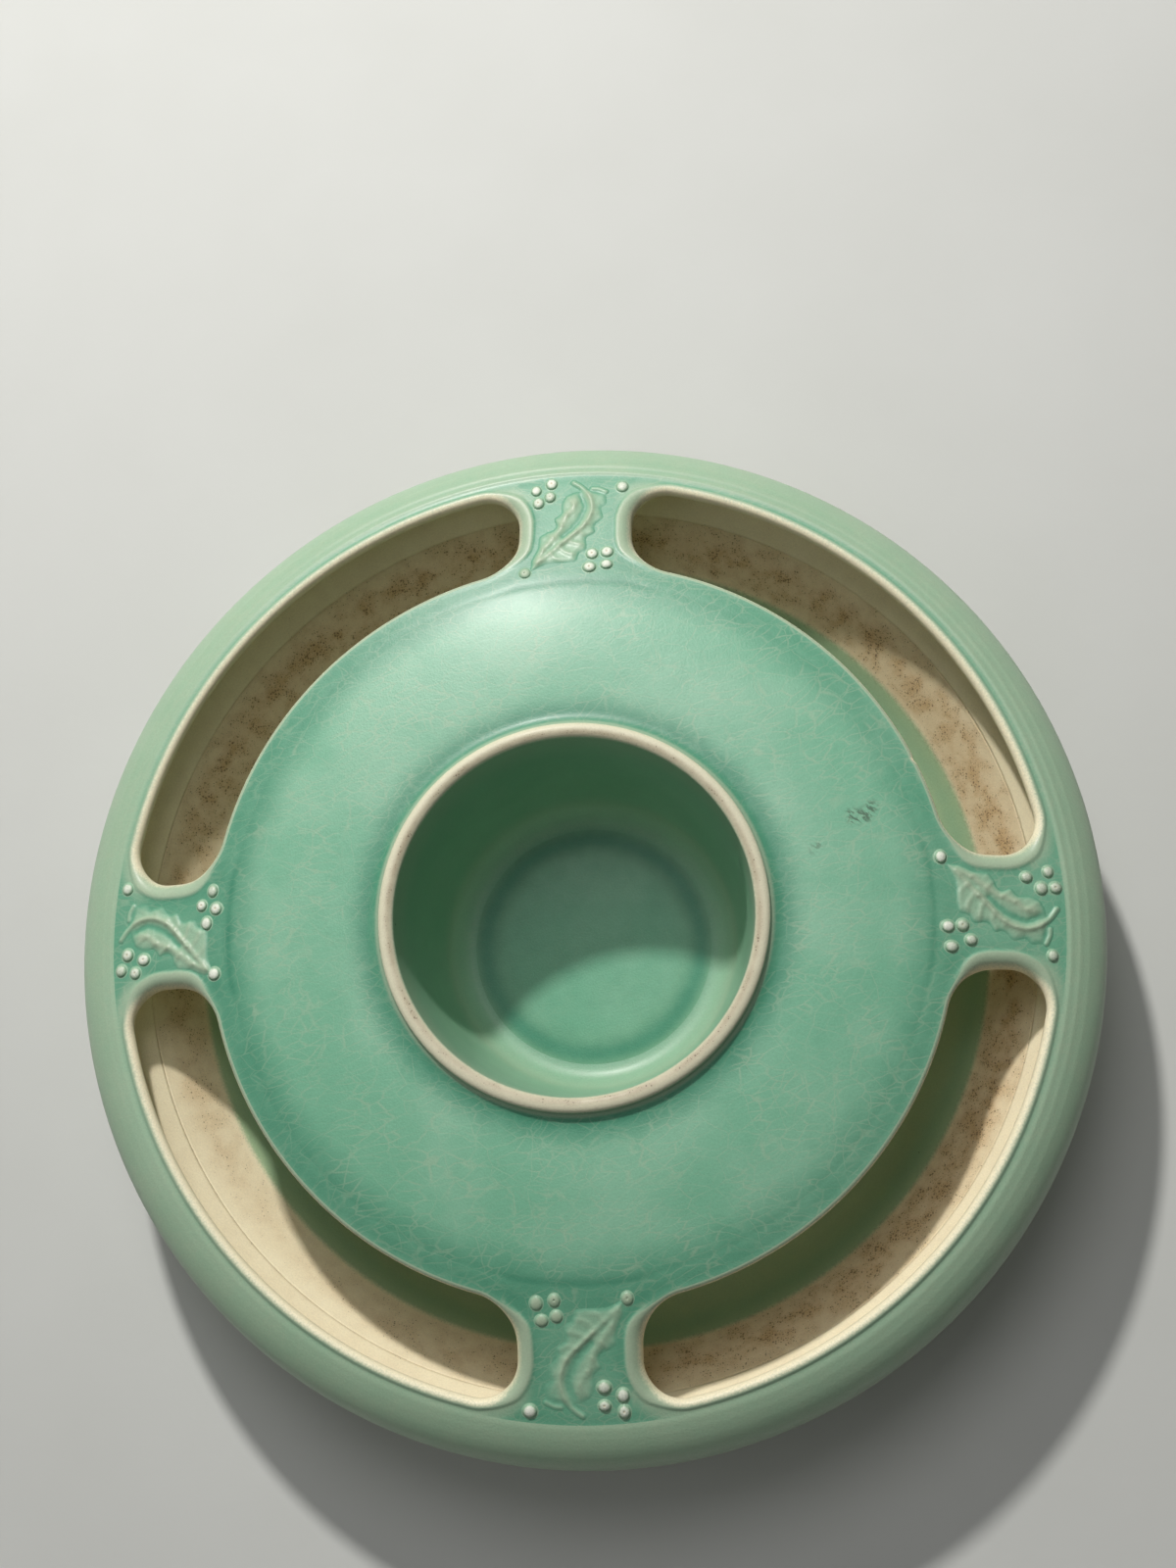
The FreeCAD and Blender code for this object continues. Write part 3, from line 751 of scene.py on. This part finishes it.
class Graph:
    """Adds shader nodes to a material and links them."""

    def __init__(self, name):
        self.material = bpy.data.materials.new(name)
        self.material.use_nodes = True
        self.tree = self.material.node_tree
        self.shader = self.tree.nodes["Principled BSDF"]

    def plug(self, socket, value):
        """Links a socket to the value, or sets it."""
        if isinstance(value, bpy.types.NodeSocket):
            self.tree.links.new(value, socket)
        else:
            socket.default_value = value

    def node(self, kind, **inputs):
        """A node with some of its inputs plugged."""
        made = self.tree.nodes.new(kind)
        for key, value in inputs.items():
            self.plug(made.inputs[key.replace("_", " ")], value)
        return made

    def math(self, operation, a, b=0.0, clamp=False):
        """Result of a sum on two values."""
        made = self.tree.nodes.new("ShaderNodeMath")
        made.operation = operation
        made.use_clamp = clamp
        self.plug(made.inputs[0], a)
        self.plug(made.inputs[1], b)
        return made.outputs[0]

    def span(self, x, low, high, to_low=0.0, to_high=1.0):
        """Smooth step of x from low to high."""
        made = self.tree.nodes.new("ShaderNodeMapRange")
        made.interpolation_type = "SMOOTHSTEP"
        for key, value in zip(range(5), (x, low, high, to_low, to_high)):
            self.plug(made.inputs[key], value)
        return made.outputs[0]

    def mix(self, factor, a, b, blend="MIX"):
        """Colour a blended towards colour b."""
        made = self.tree.nodes.new("ShaderNodeMix")
        made.data_type = "RGBA"
        made.blend_type = blend
        self.plug(made.inputs[0], factor)
        self.plug(made.inputs[6], a)
        self.plug(made.inputs[7], b)
        return made.outputs[2]

    def noise(self, vector, scale, detail=2.0, roughness=0.5):
        """Cloudy value, 0 to 1; scale in waves per millimetre."""
        made = self.node("ShaderNodeTexNoise", Vector=vector, Scale=scale, Detail=detail, Roughness=roughness)
        return made.outputs["Fac"]

    def cells(self, vector, scale, feature="F1"):
        """Node of scattered cells; scale in cells per millimetre."""
        made = self.tree.nodes.new("ShaderNodeTexVoronoi")
        made.feature = feature
        self.plug(made.inputs["Vector"], vector)
        self.plug(made.inputs["Scale"], scale)
        return made

    def millimetres(self):
        """Object coordinates in millimetres."""
        coordinates = self.tree.nodes.new("ShaderNodeTexCoord").outputs["Object"]
        made = self.tree.nodes.new("ShaderNodeVectorMath")
        made.operation = "SCALE"
        self.plug(made.inputs[0], coordinates)
        made.inputs["Scale"].default_value = 1.0 / MM
        return made.outputs[0]

    def masks(self):
        """The four masks stored with the mesh: thin, bare, pool, stain."""
        made = self.tree.nodes.new("ShaderNodeAttribute")
        made.attribute_name = "glaze"
        split = self.node("ShaderNodeSeparateColor", Color=made.outputs["Color"])
        return split.outputs[0], split.outputs[1], split.outputs[2], made.outputs["Alpha"]

    def warped(self, vector, scale, amount):
        """The vector pushed about by noise, so that lines aren't straight."""
        colour = self.node("ShaderNodeTexNoise", Vector=vector, Scale=scale, Detail=2.0).outputs["Color"]
        shift = self.tree.nodes.new("ShaderNodeVectorMath")
        shift.operation = "MULTIPLY_ADD"
        self.plug(shift.inputs[0], colour)
        shift.inputs[1].default_value = (amount,) * 3
        self.plug(shift.inputs[2], vector)
        return shift.outputs[0]

    def stretched(self, vector, turn, scale):
        """The vector turned about Z by some degrees, then scaled on each axis."""
        made = self.tree.nodes.new("ShaderNodeMapping")
        made.vector_type = "POINT"
        self.plug(made.inputs["Vector"], vector)
        made.inputs["Rotation"].default_value = (0.0, 0.0, math.radians(turn))
        spread = self.tree.nodes.new("ShaderNodeVectorMath")
        spread.operation = "MULTIPLY"
        self.plug(spread.inputs[0], made.outputs[0])
        spread.inputs[1].default_value = scale
        return spread.outputs[0]

    def bump(self, height, strength, distance, normal=None):
        """Normal of a height, on top of another normal."""
        made = self.node("ShaderNodeBump", Height=height, Strength=strength, Distance=distance)
        if normal is not None:
            self.plug(made.inputs["Normal"], normal)
        return made.outputs["Normal"]


GREEN = srgb(114, 176, 144)
GREEN_LIGHT = srgb(131, 184, 154)
GREEN_DEEP = srgb(54, 131, 102)
GREEN_PALE = srgb(168, 188, 160)
# pale olive of thin glaze, partly the bowl's own colour and partly painted light bounced from the cream walls
OLIVE_PALE_AND_BOUNCE = srgb(170, 190, 150)
CREAM = srgb(248, 238, 206)
# brown of stains on the body; on the bowl's inside also painted shade
CREAM_STAIN_AND_SHADE = srgb(186, 148, 98)
PALE_BODY = srgb(236, 240, 226)
RIM_BODY = srgb(220, 217, 190)
RIM_SOIL = srgb(152, 134, 106)
BROWN = srgb(70, 50, 30)
PINHOLE = srgb(30, 40, 34)
SMUDGE = srgb(62, 84, 66)
FOOT_CLAY = srgb(214, 199, 168)
FOOT_WORN = srgb(188, 168, 132)
FOOT_GRIT = srgb(128, 106, 78)
FLOOR_LIGHT = srgb(206, 207, 204)
FLOOR_DARK = srgb(199, 200, 196)
CRAZE_TURN = -18.0       # degrees from the east-west line


def pottery(name, craze=1.0, body=CREAM, soil_and_shade=CREAM_STAIN_AND_SHADE, pale=GREEN_PALE):
    """Satin crackle glaze over a cream body, driven by the stored masks."""
    g = Graph(name)
    here = g.millimetres()
    thin, bare, pool, stain_and_shade = g.masks()
    cloud = g.noise(here, 0.045, 3.0)
    patch = g.noise(here, 0.22, 3.0)
    fine = g.noise(here, 2.2, 2.0, 0.6)

    # glaze colour: depth of glaze, cloudiness, pale edges
    uneven = g.math("MULTIPLY", g.math("SUBTRACT", patch, 0.5), 0.35)
    deep = g.math("ADD", pool, uneven, clamp=True)
    glaze = g.mix(g.span(cloud, 0.35, 0.68), GREEN, GREEN_LIGHT)
    glaze = g.mix(deep, glaze, GREEN_DEEP)
    glaze = g.mix(g.math("ADD", thin, g.math("MULTIPLY", uneven, thin), clamp=True), glaze, pale)

    # crazing: a net of fine long cells, and a coarser net over it
    drift = g.warped(g.warped(here, 0.012, 26.0), 0.16, 2.2)
    fine_net = g.cells(g.stretched(drift, CRAZE_TURN, (0.17, 0.46, 0.30)), 1.0, "DISTANCE_TO_EDGE")
    wide_net = g.cells(g.stretched(drift, -CRAZE_TURN, (0.10, 0.17, 0.14)), 1.0, "DISTANCE_TO_EDGE")
    lines = g.math("MULTIPLY", g.span(fine_net.outputs["Distance"], 0.0, 0.085, 1.0, 0.0),
                   g.span(g.noise(here, 0.09, 2.0), 0.36, 0.58, 0.25, 0.9))
    wide = g.span(wide_net.outputs["Distance"], 0.0, 0.022, 1.0, 0.0)
    lines = g.math("MAXIMUM", lines, g.math("MULTIPLY", wide, 0.8))
    faded = g.math("MULTIPLY", lines, g.span(patch, 0.32, 0.58, 0.35, 1.0))
    faded = g.math("MULTIPLY", faded, g.span(pool, 0.45, 0.75, 1.0, 0.5))
    glaze = g.mix(g.math("MULTIPLY", faded, 0.42 * craze), glaze, pale)

    # smudges: short slanting streaks where the glaze is stained
    streaks = g.noise(g.stretched(here, -50.0, (1.5, 0.6, 1.0)), 1.0, 3.0, 0.6)
    smudge = g.math("MULTIPLY", g.span(stain_and_shade, 0.25, 0.9), g.span(streaks, 0.46, 0.60))
    glaze = g.mix(g.math("MULTIPLY", smudge, 0.75, clamp=True), glaze, SMUDGE)

    # body colour: cream, stained and speckled with brown; on the bowl's inside the brown also serves as
    # painted shade
    blotch_and_shade = g.math("MULTIPLY", stain_and_shade, g.span(patch, 0.30, 0.70, 0.46, 0.74), clamp=True)
    clay = g.mix(blotch_and_shade, body, soil_and_shade)
    for scale, strength in ((1.7, 0.62), (3.0, 0.50)):
        dots = g.cells(here, scale)
        keep = g.node("ShaderNodeSeparateColor", Color=dots.outputs["Color"]).outputs[0]
        size = g.math("MULTIPLY", g.math("MULTIPLY", keep, keep),
                      g.math("MULTIPLY", stain_and_shade, g.span(patch, 0.38, 0.62, 0.30, 0.74)))
        dot = g.span(dots.outputs["Distance"], g.math("MULTIPLY", size, 0.5), size, 1.0, 0.0)
        clay = g.mix(g.math("MULTIPLY", dot, strength), clay, BROWN)
    broken = g.math("ADD", bare, g.math("MULTIPLY", g.math("SUBTRACT", fine, 0.5), 0.30))
    shows = g.span(broken, 0.30, 0.80)
    colour = g.mix(shows, glaze, clay)

    # pinholes burnt through the glaze, far apart
    holes = g.cells(here, 0.062)
    lucky = g.node("ShaderNodeSeparateColor", Color=holes.outputs["Color"]).outputs[1]
    hole_size = g.span(lucky, 0.45, 1.0, 0.0, 0.034)
    hole = g.span(holes.outputs["Distance"], g.math("MULTIPLY", hole_size, 0.6), hole_size, 1.0, 0.0)
    hole = g.math("MULTIPLY", hole, g.math("GREATER_THAN", lucky, 0.45))
    colour = g.mix(g.math("MULTIPLY", hole, 0.85), colour, PINHOLE)
    tone = g.span(fine, 0.25, 0.75, 0.955, 1.045)
    colour = g.mix(1.0, colour, g.node("ShaderNodeCombineColor", Red=tone, Green=tone, Blue=tone).outputs[0],
                   "MULTIPLY")

    # surface: orange peel, craze lines, grain
    peel = g.noise(here, 0.7, 2.0)
    height = g.math("SUBTRACT", g.math("MULTIPLY", peel, 0.6), g.math("MULTIPLY", faded, 0.20 * craze))
    height = g.math("SUBTRACT", height, hole)
    normal = g.bump(height, 0.25, 0.10 * MM)
    normal = g.bump(g.noise(here, 1.9, 2.0, 0.6), 0.52, 0.10 * MM, normal)
    g.plug(g.shader.inputs["Base Color"], colour)
    g.plug(g.shader.inputs["Roughness"], g.span(g.math("ADD", shows, g.math("MULTIPLY", patch, 0.2)),
                                                0.0, 1.2, 0.44, 0.62))
    g.plug(g.shader.inputs["Normal"], normal)
    g.shader.inputs["IOR"].default_value = 1.52
    g.shader.inputs["Specular Tint"].default_value = (1.0, 0.88, 0.92, 1.0)
    g.shader.inputs["Coat Weight"].default_value = 0.08
    g.shader.inputs["Coat Roughness"].default_value = 0.25
    return g.material


def bare_clay(name):
    """Unglazed, worn foot: matt, pitted, darker where it has rubbed."""
    g = Graph(name)
    here = g.millimetres()
    patch = g.noise(here, 0.25, 3.0)
    fine = g.noise(here, 3.0, 4.0, 0.7)
    colour = g.mix(g.span(patch, 0.35, 0.65), FOOT_CLAY, FOOT_WORN)
    colour = g.mix(g.span(fine, 0.58, 0.72, 0.0, 0.6), colour, FOOT_GRIT)
    g.plug(g.shader.inputs["Base Color"], colour)
    g.plug(g.shader.inputs["Roughness"], g.span(fine, 0.2, 0.8, 0.72, 0.92))
    g.plug(g.shader.inputs["Normal"], g.bump(fine, 0.5, 0.15 * MM))
    return g.material


def floor_material():
    """Plain pale floor, slightly cloudy."""
    g = Graph("studio_floor")
    here = g.millimetres()
    g.plug(g.shader.inputs["Base Color"], g.mix(g.noise(here, 0.02, 3.0), FLOOR_LIGHT, FLOOR_DARK))
    g.shader.inputs["Roughness"].default_value = 0.9
    g.plug(g.shader.inputs["Normal"], g.bump(g.noise(here, 0.25, 3.0), 0.10, 0.4 * MM))
    return g.material


# ---- stage, light, camera --------------------------------------------------
FLOOR_SIZE = 6.0
# name, direction, distance, diameter, power, colour; the key stands near and small for crisp shadows
LIGHTS = (
    ("key", (-0.187, 0.63, 0.722), 0.976, 0.06, 7.6, (1.0, 0.985, 0.955)),
    ("glow", (-0.07, 0.38, 0.92), 1.3, 0.6, 2.9, (1.0, 1.0, 1.0)),
    ("fill", (-0.80, -0.15, 0.60), 1.4, 1.0, 1.4, (0.98, 0.99, 1.0)),
    ("ceiling", (0.0, -0.1, 1.0), 2.3, 2.4, 4.0, (1.0, 1.0, 0.99)),
)
WORLD = srgb(228, 228, 224)
WORLD_STRENGTH = 0.07
CAMERA_LENS = 42.75
CAMERA_AT = (0.0468, -0.0724, RIM_Z * MM + 0.4236)
CAMERA_AIM = (0.0038, 0.0305, RIM_Z * MM)


def stage_floor():
    """Round floor under the object."""
    mesh = bpy.data.meshes.new("floor")
    work = bmesh.new()
    bmesh.ops.create_circle(work, cap_ends=True, segments=96, radius=FLOOR_SIZE)
    work.to_mesh(mesh)
    work.free()
    mesh.materials.append(floor_material())
    floor = bpy.data.objects.new("floor", mesh)
    bpy.context.scene.collection.objects.link(floor)


def aim(obj, target, image_up=(0.0, 1.0, 0.0)):
    """Turns a camera or light so that its -Z looks at the target."""
    forward = (Vector(target) - obj.location).normalized()
    right = forward.cross(Vector(image_up)).normalized()
    up = right.cross(forward)
    obj.rotation_euler = Matrix((right, up, -forward)).transposed().to_euler()


def add_light(name, towards, distance, size, power, colour):
    """Round lamp in a direction from the axis, aimed at the rim."""
    data = bpy.data.lights.new(name, "AREA")
    data.shape = "DISK"
    data.size = size
    data.energy = power
    data.color = colour
    light = bpy.data.objects.new(name, data)
    light.location = Vector(towards).normalized() * distance
    aim(light, (0, 0, RIM_Z * MM), (0.3, 0.2, 1.0))
    bpy.context.scene.collection.objects.link(light)


def light_and_camera():
    """Lamps, a dim even world, and the camera almost straight above the bowl."""
    for lamp in LIGHTS:
        add_light(*lamp)
    world = bpy.data.worlds.new("studio")
    world.use_nodes = True
    background = world.node_tree.nodes["Background"]
    background.inputs["Color"].default_value = WORLD
    background.inputs["Strength"].default_value = WORLD_STRENGTH
    scene = bpy.context.scene
    scene.world = world
    scene.view_settings.view_transform = "Standard"
    data = bpy.data.cameras.new("camera")
    data.lens = CAMERA_LENS
    data.sensor_width = 36.0
    camera = bpy.data.objects.new("camera", data)
    camera.location = CAMERA_AT
    aim(camera, CAMERA_AIM)
    scene.collection.objects.link(camera)
    scene.camera = camera


def build():
    """Every piece, with its material, in place of its CAD node."""
    cover_glaze = pottery("cover_glaze")
    bowl_glaze = pottery("bowl_glaze", craze=0.12, pale=OLIVE_PALE_AND_BOUNCE)
    well_glaze = pottery("well_glaze", craze=0.3, body=RIM_BODY, soil_and_shade=RIM_SOIL)
    leaf_glaze = pottery("leaf_glaze", craze=0.25)
    berry_glaze = pottery("berry_glaze", craze=0.0, body=PALE_BODY)
    make_piece("cover", cover_shell(), cover_glaze, "pierced_cover")
    make_piece("bowl", bowl_shell(), bowl_glaze, "lower_bowl")
    make_piece("well", well_shell(), well_glaze, "centre_well")
    make_piece("foot", foot_shell(), bare_clay("bare_clay"), "foot_ring")
    for bridge, (direction, _) in BRIDGES.items():
        drowned = 1.0 if bridge == "south" else 0.0
        leaf = leaf_shell(direction, drowned)
        berries = berries_shell(bridge, direction)
        make_piece("leaf." + bridge, leaf, leaf_glaze, "leaf_" + bridge)
        make_piece("berries." + bridge, berries, berry_glaze, "berries_" + bridge)


light_and_camera()
stage_floor()
build()
